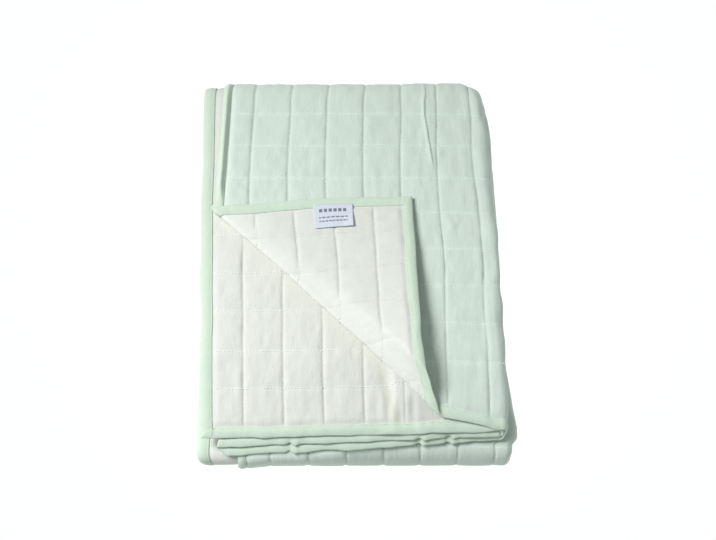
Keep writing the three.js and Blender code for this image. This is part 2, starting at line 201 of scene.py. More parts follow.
# The tape's section, as distance from the quilt's edge and height: outside and inside
TAPE_TOP = np.array([
    (14.0, 1.50), (13.8, 2.05), (13.2, 2.20), (12.4, 1.95), (11.6, 2.24), (10.4, 2.45),
    (8.8, 2.60), (7.0, 2.56), (5.2, 2.32), (3.4, 1.88), (1.7, 1.27), (0.5, 0.66)])
TAPE_HOLLOW = np.array([(14.0, 1.15), (11.0, 1.50), (7.0, 1.80), (3.6, 1.30), (1.6, 0.70)])
TAPE_INSIDE, TAPE_CUT, BUTT_GROOVE = 0.9, 34.0, 0.7

# Stitches: rings and sides of a thread, its share of thickness in columns and rows, how narrow
# it is in the first row, where they start inside the binding, and how far the binding's own
# stitches lie in and up
RINGS, AROUND, THREAD_SHARES, NARROW_THREAD = 6, 5, (0.8, 1.25), 0.45
INSET, STITCH_IN, STITCH_UP = BINDING_WIDTH + 3, 12.4, 1.84

# Lines of the meshes.  Each step says where it ends and how far its lines lie apart, then every
# which line the hidden inside keeps, and whether the lines follow the stitches
STITCH_CLEAR, STITCH_BESIDE = 2.0, (-1.2, 0, 1.2)
FACE_ACROSS = (
    (34, 2.7, 1, True), (222, 2.7, 4, True), (276, 2.7, 2, True), (303, 1.1, 6, True),
    (U[1], 2.7, 4, True), (U[2], 1.9, 2), (U[3], 30), (U[4], 0.9, 2), (U[5], 30),
    (U[6], 1.1, 2), (WIDTH - TUCK, 30))
FACE_ALONG = (
    (40, 2.8, 1, True), (V[1], 2.8, 4, True), (V[2], 3.2, 2, True), (V[3], 13, 2, True),
    (V[4], 2.6, 2, True), (V[5], 14, 2, True), (V[6], 3.6, 2), (LENGTH - TUCK, 16, 2, True))
REVERSE_ACROSS = (
    (34, 2.7, 1, True), (216, 2.7, 4, True), (276, 2.7, 1, True), (FLAP_U, 2.7, 4, True),
    (U[1], 10), (U[2], 2.6, 2), (U[3], 30), (U[4], 1.1, 2), (U[5], 30), (U[6], 0.9, 2),
    (WIDTH - TUCK, 2.7, 4, True))
REVERSE_ALONG = (
    (48, 2.8, 1, True), (FLAP_V, 2.8, 4, True), (V[1], 6, 2, True), (V[2], 4.5, 2), (V[3], 30),
    (V[4], 3.4, 2), (V[5], 30), (V[6], 3.4, 2), (LENGTH - TUCK, 30))
TAPE_ACROSS = (
    (BINDING_WIDTH, 2.0), (U[1], 2.8), (U[2], 1.6), (U[3], 4), (U[4], 0.8), (U[5], 4),
    (U[6], 0.8), (WIDTH - BINDING_WIDTH, 2.8), (WIDTH, 2.0))
TAPE_ALONG = (
    (BINDING_WIDTH, 2.0), (245, 2.8), (310, 1.1), (V[1], 2.8), (V[2], 3), (V[3], 8),
    (V[4], 2.4), (V[5], 8), (V[6], 3), (LENGTH - BINDING_WIDTH, 8), (LENGTH, 4))

# Tones of the cloths and their threads, as shares of the cloth's colour where no colour is
# given: the painted shade beside the stitches and the corner's fold, and the painted highlight
FACE_SHADOW, FACE_HIGHLIGHT = 0.86, 1.13
REVERSE_SHADOW, REVERSE_HIGHLIGHT, REVERSE_SLUB = (0.66, 0.64, 0.55, 1.0), 1.07, 0.7
FACE_THREAD, REVERSE_THREAD, BINDING_THREAD = 1.26, 1.28, 1.12
FOLD_SHADE, FOLD_WIDTH, CREST_WIDTH = 0.8, 24.0, 25.0
COLUMN_WIDTH, ROW_WIDTH, ROW_HIGHLIGHT_WIDTH = 1.6, 1.4, 1.1
COTTON_THREADS, BANDS_PER_SCALE = 1250.0, 3.183

# Stage, in metres.  Lights: name, whether the floor is left out or the only thing lit, place,
# aim, power in watts and spread in degrees
SKY_STRENGTH, SKY_COLOUR = 0.285, (0.88, 0.98, 0.97, 1.0)
LIGHTS = (
    ("key light", "EXCLUDE", (-1.5, 0.12, 1.9), (0.0, -0.6, 0.08), 18.3, 90.0),
    ("fill light", "EXCLUDE", (1.6, 0.2, 0.7), (0.0, 0.0, 0.05), 3.4, 180.0),
    ("floor light", "INCLUDE", (0.0, 0.2, 6.0), (0.0, 0.0, 0.0), 290.0, 180.0),
)
SOFTBOX_SIZE, FLOOR_HALF = 1.2, 9
CAMERA_LENS, CAMERA_SENSOR, CAMERA_CLIP = 76.93, 36.0, (0.05, 40.0)
CAMERA_TILT, CAMERA_AWAY, CAMERA_AIM_Z = np.radians(62.0), 1.961, 0.0784


class BedspreadSizes(bpy.types.PropertyGroup):
    """Sizes of the quilting, the threads and the label, in millimetres."""

    puff: bpy.props.FloatProperty(
        name="Puff", description="Rise of a square above the flat cloth, in millimetres",
        default=0.8, min=0.0, max=3.0)
    pucker: bpy.props.FloatProperty(
        name="Pucker", description="Height of the gathers beside the stitches, in millimetres",
        default=0.34, min=0.0, max=1.0)
    stitch: bpy.props.FloatProperty(
        name="Stitch", description="Length of one stitch, in millimetres", default=3.8, min=1.0)
    stitch_pitch: bpy.props.FloatProperty(
        name="Stitch pitch", description="From one stitch to the next, in millimetres",
        default=4.3, min=2.0)
    thread: bpy.props.FloatProperty(
        name="Thread", description="Radius of the sewing thread, in millimetres",
        default=0.36, min=0.1, max=0.6)
    label_width: bpy.props.FloatProperty(
        name="Label width", description="Along the binding, in millimetres", default=52.0)
    label_depth: bpy.props.FloatProperty(
        name="Label depth", description="Away from the binding, in millimetres", default=32.5)


class BedspreadColours(bpy.types.PropertyGroup):
    """Colours of the cloths, the tape, the label and the floor."""

    face: bpy.props.FloatVectorProperty(
        name="Face", description="Mint face cloth", subtype="COLOR", size=4,
        default=(0.630, 0.715, 0.645, 1.0))
    reverse: bpy.props.FloatVectorProperty(
        name="Reverse", description="Cream reverse cloth", subtype="COLOR", size=4,
        default=(0.690, 0.702, 0.658, 1.0))
    binding: bpy.props.FloatVectorProperty(
        name="Binding", description="Tape round the edges", subtype="COLOR", size=4,
        default=(0.598, 0.706, 0.588, 1.0))
    label: bpy.props.FloatVectorProperty(
        name="Label", description="White care label", subtype="COLOR", size=4,
        default=(0.640, 0.680, 0.770, 1.0))
    floor: bpy.props.FloatVectorProperty(
        name="Floor", description="Pale studio floor", subtype="COLOR", size=4,
        default=(0.950, 0.950, 0.950, 1.0))


# Helpers

def smooth(t):
    """Smooth step: three t squared less two t cubed, from 0 to 1."""
    t = np.clip(t, 0, 1)
    return t * t * (3 - 2 * t)


def grown(at, start, over):
    """Smooth step from 0 at a start to 1 at a distance over from it, to either side."""
    return smooth((at - start) / over)


def bell(at, centre, width):
    """Bell curve of height 1: e to the minus square of the distance over the width."""
    return np.exp(-((at - centre) / width) ** 2)


def noise(x, y, seed):
    """Value noise from -1 to 1: hashed heights on a unit lattice, eased between its points."""
    i, j = np.floor(x).astype(np.int64), np.floor(y).astype(np.int64)
    a, b = x - i, y - j
    a, b = a * a * a * (a * (6 * a - 15) + 10), b * b * b * (b * (6 * b - 15) + 10)

    def height(p, q):
        h = (p * 374761393 + q * 668265263 + seed * 974634777) & 0xFFFFFFFF
        h = ((h ^ (h >> 13)) * 1274126177) & 0xFFFFFFFF
        return ((h ^ (h >> 16)) & 0xFFFF) / 32767.5 - 1

    front = height(i, j) * (1 - a) + height(i + 1, j) * a
    back = height(i, j + 1) * (1 - a) + height(i + 1, j + 1) * a
    return front * (1 - b) + back * b


# Folding

def reach(column, v):
    """Straight-line reading of the table of layer ends, at places along the cloth."""
    return np.interp(v, PLACES, REACH[column])


def across_pile(u, v, off):
    """Section across the pile: straight layers joined by half circles.

    Gives x, the height, the height of the cloth's own middle, and the share of the way to
    the right-hand fold.
    """
    n = np.clip(np.searchsorted(U, u, side="left") - 1, 0, 6)
    right, one = reach("right", v), reach("layer 1", v)
    two, low = reach("layer 2", v), reach("layers 3, 4", v)
    start = np.choose(n, [one, right, right, low, low, right, right])
    end = np.choose(n, [right, right, low, low, right, right, two])
    share = (u - U[n]) / (U[n + 1] - U[n])
    flat = BEND[n] == 0
    out = BEND[n] + FACING[n] * off
    sine, cosine = np.sin(np.pi * share), np.cos(np.pi * share)
    x = np.where(flat, start + (end - start) * share, start + SIDE[n] * out * sine)
    x = x + (n == 0) * CREASE_DRAW * grown(u, *CREASE_DRAW_U) * grown(v, *CREASE_DRAW_V)
    x = x + (n == 6) * SECOND_SHIFT * grown(u, *SHIFT_LEFT) * grown(u, *SHIFT_RIGHT)
    height = ROW[n] + np.where(flat, FACING[n] * off, START[n] * out * cosine)
    middle = ROW[n] + START[n] * BEND[n] * cosine
    nose = (n >= 2) & (n <= 4)
    slant = NOSE_SLANT * (middle / LAYER_PITCH + NOSE_FROM) * np.exp(-v / NOSE_FADE)
    x = x - nose * slant * grown(x, *NOSE_X)
    return x, height, middle, np.clip((np.where(flat, x, start) - SHARE_X) / SHARE_SPAN, 0, 1)


def top_run_y(v, middle, share):
    """How far back a point of the top run lies.

    Each layer has its own front edge; they draw together at the right-hand fold.  The first
    layer keeps its true length at the edge and is stretched behind it.  The rows of the lower
    layers lie further forward.
    """
    left = np.interp(middle, EDGE_HEIGHT, EDGE_Y)
    right = np.interp(middle, EDGE_HEIGHT, RIGHT_EDGE_Y)
    bend = np.interp(middle, EDGE_HEIGHT[2:], EDGE_BEND)
    front = left + (right - left) * share ** bend
    step = np.clip(v / CELL_ALONG, 0, 1)

    def first_row(end, short):
        true = np.clip(short * CELL_ALONG / (end - front), 0, 1)
        return front + (end - front) * (true * step + (1 - true) * step ** 2)

    short = 1 - (1 - FIRST_SHORT) * grown(share, *SHORT_FROM)
    first = np.where(v < CELL_ALONG, first_row(SAG_START_Y, short),
                     np.interp(v, FIRST_ROWS_V, FIRST_ROWS_Y))
    lower = np.where(v < CELL_ALONG, first_row(LOWER_ROWS_Y[0], LOWER_SHORT),
                     np.interp(v, LOWER_ROWS_V, LOWER_ROWS_Y))
    below = np.clip((ROW[0] - middle) / LAYER_PITCH, 0, 1) * (1 - share ** 4)
    return first + (lower - first) * below


def plan(u, v):
    """Place on the plan before the corner is turned, and the share of the way to the right."""
    x, _, middle, share = across_pile(u, v, 0 * u)
    return x, top_run_y(v, middle, share), share


def turn_place(x, y):
    """Distance along the corner's fold line and beyond it, and the roll's radius there."""
    along = (x - TURN_FROM[0]) * TURN_ALONG[0] + (y - TURN_FROM[1]) * TURN_ALONG[1]
    beyond = (x - TURN_FROM[0]) * TURN_OUT[0] + (y - TURN_FROM[1]) * TURN_OUT[1]
    beyond = beyond + TIP_CURL * bell(along, 0, TIP_REACH)
    return along, beyond, np.interp(along, (0, TURN_LENGTH), TURN_RADIUS)


def turned(u, v):
    """Distance of a cloth point beyond the corner's fold line, and the roll's radius."""
    x, y, _ = plan(u, v)
    return turn_place(x, y)[1:]


def turn_corner(x, y, v, off):
    """Rolls the top layer's corner once round a half circle and lays it back on the layer.

    Behind the roll it swells up, most towards the front, and then settles to a steady height.
    Being on the bias it is drawn a little to the left and stretched to the front and back.
    The bound edge on its right curls up.
    """
    along, beyond, radius = turn_place(x, y)
    share = along / TURN_LENGTH
    angle = np.clip(beyond / radius, 0, np.pi)
    past = np.maximum(beyond - np.pi * radius, 0)
    out = (radius - off) * np.sin(angle) - past
    swell = (SWELL * grown(share, *SWELL_FROM) * smooth(past / SWELL_RISE)
             * (1 - grown(past, SWELL_RISE, SWELL_FALL)))
    fall = (2 * radius - FLAP_HEIGHT) * smooth(past / FLAP_SETTLE) - swell
    flap_x = TURN_FROM[0] + along * TURN_ALONG[0] + out * TURN_OUT[0]
    flap_y = TURN_FROM[1] + along * TURN_ALONG[1] + out * TURN_OUT[1]
    lying = smooth(past / FLAP_LIES)
    at_edge = smooth(1 - v / EDGE_REACH) * smooth(past / EDGE_EASE)
    flap_x = flap_x - FLAP_DRAW * lying - at_edge * (
        EDGE_DRAW + TIP_DRAW * grown(share, *TIP_FROM))
    flap_y = flap_y + FLAP_STRETCH * (flap_y - FLAP_STILL_Y) * lying
    curl = EDGE_CURL * at_edge * grown(share, *CURL_FROM)
    lift = radius - (radius - off) * np.cos(angle) - fall + curl
    over = beyond > 0
    return np.where(over, flap_x, x), np.where(over, flap_y, y), np.where(over, lift, off)


def fold(u, v, off):
    """Place of a cloth point in the pile: four runs joined by half circles, squarer in front.

    off is the height from the cloth's middle, positive towards the face.
    """
    x, height, middle, share = across_pile(u, v, off)
    n = np.clip(np.searchsorted(V, v, side="left") - 1, 0, 6)
    angle = np.pi * (v - V[n]) / (V[n + 1] - V[n])
    sine, cosine = np.sin(angle), np.cos(angle)
    square = np.where(n == 3, FRONT_SQUARE, 1)
    sine = np.abs(sine) ** square
    cosine = np.sign(cosine) * np.abs(cosine) ** square

    y0 = top_run_y(v, middle, share)
    turned_x, turned_y, lift = turn_corner(x, y0, v, off)
    first = u <= U[1]
    x0 = np.where(first, turned_x, x)
    y0 = np.where(first, turned_y, y0)
    h0 = np.where(first, ROW[0] + lift, height)
    drop = SAG_START_Y - y0
    sag = SAG_SLOPE * (drop + np.sqrt(drop ** 2 + SAG_EASE ** 2)) / 2

    back = (BACK_Y - HIDDEN_END_Y) * (v - V[6]) / (V[7] - V[6])
    y = np.choose(n, [
        y0, BACK_Y + (OUTER_TURN + height) * sine, BACK_Y - (v - V[2]),
        FRONT_Y - (INNER_TURN + height) * sine, FRONT_Y + (v - V[4]),
        BACK_Y + (INNER_TURN - height) * sine, BACK_Y - back])
    rise = np.choose(n, [
        3 * RUN_PITCH + h0 - sag, OUTER_TURN + (OUTER_TURN + height) * cosine, -height,
        INNER_TURN - (INNER_TURN + height) * cosine, RUN_PITCH + height,
        OUTER_TURN - (INNER_TURN - height) * cosine, 2 * RUN_PITCH - height])
    return np.stack([np.where(n == 0, x0, x), y, BOTTOM_Z + rise], -1)


def beside(u, v):
    """Distance of a cloth point from the nearest edge of the quilt."""
    return np.minimum.reduce([u, WIDTH - u, v, LENGTH - v])


def to_stitch(at, first, pitch):
    """Distance to the nearest of evenly spaced stitch lines."""
    return np.abs((at - first + pitch / 2) % pitch - pitch / 2)


def ridge(x, y, points, left, right):
    """A crease along a line of points: a bell that is left wide on one side, right on the other.

    It fades in and out over the first and last quarter of the line.
    """
    points = np.asarray(points, float)
    steps = np.diff(points, axis=0)
    lengths = np.hypot(steps[:, 0], steps[:, 1])
    before = np.append(0, np.cumsum(lengths))
    best = np.full(np.shape(x), np.inf)
    height = np.zeros(np.shape(x))
    for start, step, length, done in zip(points, steps / lengths[:, None], lengths, before):
        along = np.clip((x - start[0]) * step[0] + (y - start[1]) * step[1], 0, length)
        dx, dy = x - start[0] - along * step[0], y - start[1] - along * step[1]
        near = np.hypot(dx, dy)
        width = np.where(step[0] * dy - step[1] * dx > 0, left, right)
        share = (done + along) / before[-1]
        fade = smooth(4 * share) * smooth(4 * (1 - share))
        height = np.where(near < best, fade * bell(near, 0, width), height)
        best = np.minimum(near, best)
    return height


def creases(x, y, lines):
    """Sum of the creases of a table: ridges of one width on both sides."""
    return sum(height * ridge(x, y, line, width, width) for line, height, width in lines)


def soft_end(x, y):
    """Near its front end the corner's fold is not sharp: the cloth under it swells up to meet it,
    to the right of a short valley.  Gives the swelling, from 0 to 1, and the valley's painted
    shade."""
    way = np.subtract(VALLEY[1], VALLEY[0])
    way = way / np.hypot(*way)
    down = (x - VALLEY[0][0]) * way[0] + (y - VALLEY[0][1]) * way[1]
    right = (y - VALLEY[0][1]) * way[0] - (x - VALLEY[0][0]) * way[1]
    inside = grown(down, *VALLEY_FROM)
    return (inside * grown(right, -2, VALLEY_WIDTH),
            inside * bell(right, VALLEY_LINE, VALLEY_SHADE))


def left_crease(u, v):
    """Height of the first layer beside the crease along its bound left edge.

    The binding banks up to the left of the crease, and the cloth swells to the right of it.
    """
    beyond, _ = turned(u, v)
    here = (u <= U[1]) * grown(beyond, *CREASE_CLEAR) * grown(v, *CREASE_END)
    bank = CREASE_BANK * grown(u, CREASE_U, -BANK_WIDTH) * (0.4 + 0.6 * grown(u, 0, 6))
    swell = EDGE_LIFT * grown(u, CREASE_U, LIFT_WIDTH) * (0.3 + 0.7 * grown(u, 60, -40))
    return here * (bank + swell * grown(u, 110, -60) - CREASE_DEPTH)


def loft(u, v, off):
    """How far the cloth's middle leaves the smooth pile, towards the face.

    The first layer lies loosely: slow noise, a pleat at the back, drag lines and a raised
    left edge.  The turned corner is slack too.  The layer that it uncovers swells up to its
    roll, as a bell, and has a few soft creases.  The right-hand fold is creased and puffed.
    """
    x, y, share = plan(u, v)
    _, beyond, radius = turn_place(x, y)
    flap_x, flap_y, _ = turn_corner(x, y, v, 0 * x)
    held = grown(v, *LOOSE_END)

    lying = (1 - grown(beyond, *LIES_FROM)) * (1 - grown(share, *LIES_TO)) * held
    slack = FIRST_SLACK + FIRST_SLACK * noise(x / 62, y / 80, 21)
    first = lying * (slack + PLEAT_HEIGHT * ridge(x, y, PLEAT, *PLEAT_WIDTHS)
                     + creases(x, y, DRAG_LINES) + left_crease(u, v))
    on_top = smooth((beyond - np.pi * radius) / 30)
    flap = on_top * (FLAP_SLACK + FLAP_SLACK * noise(flap_x / 55, flap_y / 70, 22))

    bare = smooth((beyond - radius) / 25) * (v < V[1])
    gathers = -np.cos(2 * np.pi * (x - GATHERS_X) / GATHERS_PITCH) * np.exp(
        -((y - GATHERS_Y) / GATHERS_DEEP) ** 2 - ((x - GATHERS_MIDDLE) / GATHERS_WIDE) ** 4)
    contact = beyond - (radius + HALF_THICK) + MEET_IN
    under = np.clip(1 + contact / MEET_DROP, 0, 1)
    meeting = (LAYER_PITCH - HALF_THICK + radius - MEET_GAP) * np.where(
        contact < 0, under, bell(contact, 0, MEET_WIDTH))
    swelling, _ = soft_end(x, y)
    meeting = np.maximum(meeting, VALLEY_RISE * swelling * under)
    meeting = meeting * grown(beside(u, v) - BINDING_WIDTH, 2, 25)
    second = (v < V[1]) * meeting + bare * (
        SECOND_SLACK * noise(x / 50, y / 60, 23) + GATHERS_HEIGHT * gathers
        + creases(x, y, SECOND_LINES))
    second = np.maximum(second, SECOND_LOWEST)

    to_fold = u - U[1]
    puff = np.abs(np.sin(np.pi * v / CELL_ALONG)) - 0.6
    side = grown(to_fold, *SIDE_FROM) * (
        SIDE_CREASE * noise(u / 8, v / 48, 24) + 0.5 * SIDE_CREASE * noise(u / 20, v / 17, 25)
        + SIDE_PUFF * puff * grown(to_fold, *PUFF_FROM))
    side = side * held + 0.6 * side * (1 - held) * (v < V[2])
    return np.where(u <= U[1], first - flap + side, np.where(
        u < U[2], side, np.where((u >= U[6]) & (off < 0.1), -second, 0)))


def front_bulge(v, x):
    """The left end of the front fold swells forward; its right end leans back towards the top."""
    share = np.clip((v - V[3]) / (V[4] - V[3]), 0, 1)
    lean = grown(share, *LEAN_FROM) * np.exp(-np.maximum(v - V[4], 0) / LEAN_FADE)
    return (FRONT_BULGE * np.sin(np.pi * share) * grown(x, *BULGE_X)
            - FRONT_LEAN * lean * grown(x, *LEAN_X))


def front_edges(u, v, x):
    """The bound front edges of the lower layers are not quite straight, and are pinched
    together in a few places: slow noise, and narrow bells in pairs."""
    layer = np.searchsorted(U[[2, 3, 5, 6]], u)
    strip = layer * LAYER_APART
    at_edge = grown(v, EDGE_BAND, -EDGE_BAND) * (u > U[2])
    wave = noise(x / 38, strip, 26) + 0.6 * noise(x / 13, strip, 27)
    pinch = sum(bell(x, at, PINCH_WIDTH) - 0.7 * bell(x - at, 2 * PINCH_WIDTH, PINCH_WIDTH)
                for at in PINCHES) * (layer < 4) * np.exp(-v / 12)
    move = np.zeros((*np.shape(x), 3))
    move[..., 1] = at_edge * EDGE_WAVE * wave + PINCH_DEPTH * at_edge * pinch
    move[..., 2] = 0.5 * at_edge * EDGE_WAVE * noise(x / 21, strip, 28)
    return move


def flap_bow(u, v):
    """The bias-cut top edge of the turned corner bows back a little in its middle."""
    beyond, radius = turned(u, v)
    corner = (u <= U[1]) * (v < V[1]) * smooth((beyond - np.pi * radius) / 60)
    return FLAP_BOW * corner * grown(u, BOW_V, -BOW_V) * bell(v, BOW_V, BOW_WIDTH)


def settle(p):
    """The pile is never quite even: slow noise moves each height of it a little to the sides,
    and lifts it in proportion to its height, so that the underside stays flat.

    Its back draws in to the right, and its lowest front corner on the left is rounded off.
    """
    x, y, z = p[..., 0], p[..., 1], p[..., 2]
    high = np.clip(z / PILE_HEIGHT, 0, 1)
    back = grown(y, *BACK_FROM)
    taper = BACK_TAPER * grown(x, *TAPER_X) * grown(y, *TAPER_Y)
    x = x - (0.4 + 0.6 * high) * (taper + 0.5 * BACK_CORNER * grown(x, *CORNER_X) * back)
    y = y + BACK_DRAW * back * grown(x, *DRAW_X) - BACK_CORNER * grown(x, *ROUND_X) * back
    x = x + FRONT_CORNER * grown(x, *LEFT_X) * grown(y, *NEAR_Y) * grown(z, *LOW_Z)
    level = z / UNEVEN_HEIGHT
    lift = high * (0.9 * noise(x / 110, y / 120, 5) + 0.3 * noise(x / 41, y / 45, 6))
    return np.stack([
        x + 1.3 * noise(y / 85, level, 1) + 0.6 * noise(y / 33, level, 2),
        y + 1.1 * noise(x / 95, level, 3) + 0.5 * noise(x / 36, level, 4),
        np.maximum(z + lift, 0)], -1)


def lay(u, v, off):
    """Place of a cloth point in metres: folded, unevenly settled and moved to the frame."""
    u, v, off = (np.array(a) for a in np.broadcast_arrays(
        *(np.asarray(a, float) for a in (u, v, off))))
    inside = smooth(beside(u, v) / 70)
    sewn_u = u + 1.2 * inside * noise(u / 90, v / 70, 11)
    sewn_v = v + 1.0 * inside * noise(u / 75, v / 95, 12)
    p = fold(sewn_u, sewn_v, off + loft(sewn_u, sewn_v, off))
    p[..., 1] += flap_bow(sewn_u, sewn_v) - front_bulge(sewn_v, p[..., 0])
    p += front_edges(sewn_u, sewn_v, p[..., 0])
    return (settle(p) + (SHIFT_X, SHIFT_Y, 0)) * MM


# Quilting

def on_flap(u, v):
    """Growing from 0 to 1 on the turned-back corner: over its roll, and behind its roll."""
    beyond, radius = turned(u, v)
    corner = (u <= U[1]) * (v < V[1])
    return corner * smooth(beyond / 6), corner * grown(beyond - np.pi * radius, 6, 22)


def groove(apart, pitch, depth):
    """Share of the padding taken away beside a stitch line: a power curve over half a square,
    a soft exponential and a sharp one, from a faint line at depth 0 to a deep one at 1."""
    return ((0.05 + 0.07 * depth) * (1 - 2 * apart / pitch) ** 2
            + (0.06 + 0.06 * depth) * np.exp(-apart / (5 - depth))
            + (0.06 + 0.60 * depth) * np.exp(-apart / 1.2))


def padding(u, v, puffed, sewn, sizes, seed):
    """Half thickness of the padded cloth.

    Its full height is cut down towards the nearest column and row of stitches.  Gathers stand
    beside the stitches and the binding: noise drawn out away from them.  Under the binding
    the cloth is pressed thin.
    """
    a = to_stitch(u, FIRST_STITCH, CELL_ACROSS)
    b = to_stitch(v, 0, CELL_ALONG)
    d = beside(u, v) - BINDING_WIDTH
    rolled, laid = on_flap(u, v)
    column = groove(a, CELL_ACROSS, 1 - ROLL_SMOOTHS * rolled)
    row = groove(b, CELL_ALONG, FLAP_ROWS * laid)
    full = HALF_THICK + sizes.puff * puffed
    thick = SEWN_HALF + (full - SEWN_HALF) * (1 - sewn * column) * (1 - sewn * row)
    by_column = noise(v / 4.4, u / 17, seed) * np.exp(-a / 8) * (1 - np.exp(-a / 1.6))
    by_row = noise(u / 4.4, v / 17, seed + 1) * np.exp(-b / 7) * (1 - np.exp(-b / 1.6))
    by_edge = noise((u + v) / 4.0, (u - v) / 40, seed + 2) * np.exp(-np.abs(d) / 7)
    slack = (SLOW_SLACK * noise(u / 21, v / 27, seed + 3)
             + QUICK_SLACK * noise(u / 8, v / 17, seed + 4))
    thick = thick + sewn * puffed * (
        sizes.pucker * (by_column + 0.6 * by_row + by_edge) + slack)
    return TUCKED_HALF + (thick - TUCKED_HALF) * grown(d, -0.3, 7)


def painted_shade_and_highlight(u, v, sewn):
    """Painted shade and painted highlight for the cloth's colour.  Painted shade, from 0 to 1,
    lies close to a stitch line, and on the second layer beside the corner's fold and along the
    valley in front of its end.  Painted highlight, on the rows and on the corner's roll, is
    negative."""
    a = to_stitch(u, FIRST_STITCH, CELL_ACROSS)
    b = to_stitch(v, 0, CELL_ALONG)
    x, y, _ = plan(u, v)
    _, beyond, radius = turn_place(x, y)
    swelling, valley = soft_end(x, y)
    # Painted shade: a darker tan on the second layer beside the corner's fold and along the valley
    fold_shade = np.maximum(FOLD_SHADE * bell(beyond, radius, FOLD_WIDTH) * (1 - swelling), valley)
    fold_shade = fold_shade * ((u > U[6]) & (v < V[1]))
    rolled, laid = on_flap(u, v)
    # Painted shade down the stitched columns, less over the corner's roll, and along the rows
    # behind it
    lines = np.maximum((1 - ROLL_SMOOTHS * rolled) * np.exp(-a / COLUMN_WIDTH),
                       0.5 * laid * np.exp(-b / ROW_WIDTH))
    # Painted highlight: along the rows away from the roll, and on the corner's roll and just
    # behind it
    crest = rolled * bell(np.maximum(beyond - np.pi * radius, 0), 0, CREST_WIDTH)
    painted_highlight = np.maximum((1 - rolled) * bell(b, 0, ROW_HIGHLIGHT_WIDTH), crest)
    return np.maximum(sewn * lines, fold_shade) - sewn * painted_highlight


def face_state(u, v):
    """Where the face cloth stands open to the air, and where it is drawn in by stitches."""
    beyond, _ = turned(u, v)
    runs = np.interp(v, FACE_OPEN_V, FACE_OPEN)
    shown = np.where(v <= V[1], 1 - grown(beyond, -14, 14), 1)
    sewn = np.where(u <= U[1], np.interp(v, FACE_OPEN_V[-2:], (1, 0)), 0)
    first = np.where(u <= U[1], runs * shown, 0)
    sides = ((u > U[1]) & (u < U[2])) | ((u > U[3]) & (u < U[4]))
    return np.where(sides, 0.5 * (runs > 0.2), first), np.where(sides, 1.0, sewn)


def reverse_state(u, v):
    """The same for the reverse cloth: the turned corner, and the second layer it uncovers."""
    beyond, radius = turned(u, v)
    top = v <= V[1]
    flap = np.where((u <= U[1]) & top, smooth((beyond - 1.4 * radius) / 18), 0)
    bare = np.where((u >= U[6]) & top, smooth((beyond - radius) / 18), 0)
    strip = np.where((u >= WIDTH - LEFT_STRIP) & top, 0.5, 0)
    sewn = np.where(((u <= U[1]) | (u >= U[6])) & top, 1.0, 0)
    return np.maximum.reduce([flap, bare, strip]), sewn


def face_surface(u, v, sizes):
    """Height of the face cloth's outside above the quilt's middle."""
    return padding(u, v, *face_state(u, v), sizes, 31)


def reverse_surface(u, v, sizes):
    """The same for the reverse cloth, below the middle and so negative."""
    return -padding(u, v, *reverse_state(u, v), sizes, 35)


def label_height(u, v):
    """The label starts on the tape, climbs onto the cloth and lifts at its free corner."""
    into = u - LABEL_U
    return (LABEL_BASE + LABEL_CLIMB * smooth(into / 14) + LABEL_RISE * grown(into, 26, 20)
            + LABEL_LIFT * grown(v, LABEL_V + 16, -16) * grown(into, 8, 20)
            + LABEL_RIPPLE * np.sin(v / 7.5) * smooth(into / 30))


# Meshes

def zone(start, end, spacing, thin=1, sewn=False, stitches=()):
    """Lines from start up to end, evenly divided.  In a sewn zone they run through every stitch
    line and close beside it.  The flags keep every thin-th line for an inside that isn't seen."""
    inside = [s for s in stitches if sewn and start + STITCH_CLEAR < s < end - STITCH_CLEAR]
    stops = np.unique([start, end, *(s + d for s in inside for d in STITCH_BESIDE)])
    counts = np.maximum(1, np.round(np.diff(stops) / spacing)).astype(int)
    made = np.concatenate([np.linspace(a, b, n, endpoint=False)
                           for a, b, n in zip(stops, stops[1:], counts)])
    return made, np.arange(len(made)) % thin == 0


def joined(start, steps, stitches=()):
    """All lines of a row of zones, each from the last one's end, and the numbers of those kept."""
    starts = [start, *(step[0] for step in steps)]
    zones = [zone(begin, *step, stitches=stitches) for begin, step in zip(starts, steps)]
    made = np.append(np.concatenate([z[0] for z in zones]), starts[-1])
    kept = np.append(np.concatenate([z[1] for z in zones]), True)
    return made, np.flatnonzero(kept)


def net(numbers):
    """Four-cornered faces of a grid of point numbers."""
    return np.stack([numbers[:-1, :-1], numbers[1:, :-1], numbers[1:, 1:],
                     numbers[:-1, 1:]], -1).reshape(-1, 4)


def rim(fine, coarse):
    """Faces between a fine edge and a coarse one whose points repeat."""
    four = np.stack([fine[1:], fine[:-1], coarse[:-1], coarse[1:]], -1)
    same = coarse[:-1] == coarse[1:]
    return four[~same].tolist() + four[same][:, :3].tolist()


def piece(name, points, faces, material, cloth, shade=None):
    """A mesh object at the origin, with its cloth coordinates as a UV map in metres."""
    mesh = bpy.data.meshes.new(name)
    mesh.from_pydata(points.reshape(-1, 3), [], faces)
    corners = np.empty(len(mesh.loops), np.int32)
    mesh.loops.foreach_get("vertex_index", corners)
    layer = mesh.uv_layers.new(name="cloth")
    layer.uv.foreach_set("vector", (cloth[corners] * MM).astype(np.float32).ravel())
    # The painted shade and highlight, kept as a point attribute for the cloth's material
    if shade is not None:
        layer = mesh.attributes.new("painted_light", "FLOAT", "POINT")
        layer.data.foreach_set("value", shade.astype(np.float32).ravel())
    mesh.shade_smooth()
    mesh.validate()
    mesh.materials.append(material)
    made = bpy.data.objects.new(name, mesh)
    bpy.context.scene.collection.objects.link(made)
    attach(made, "root")
    return made


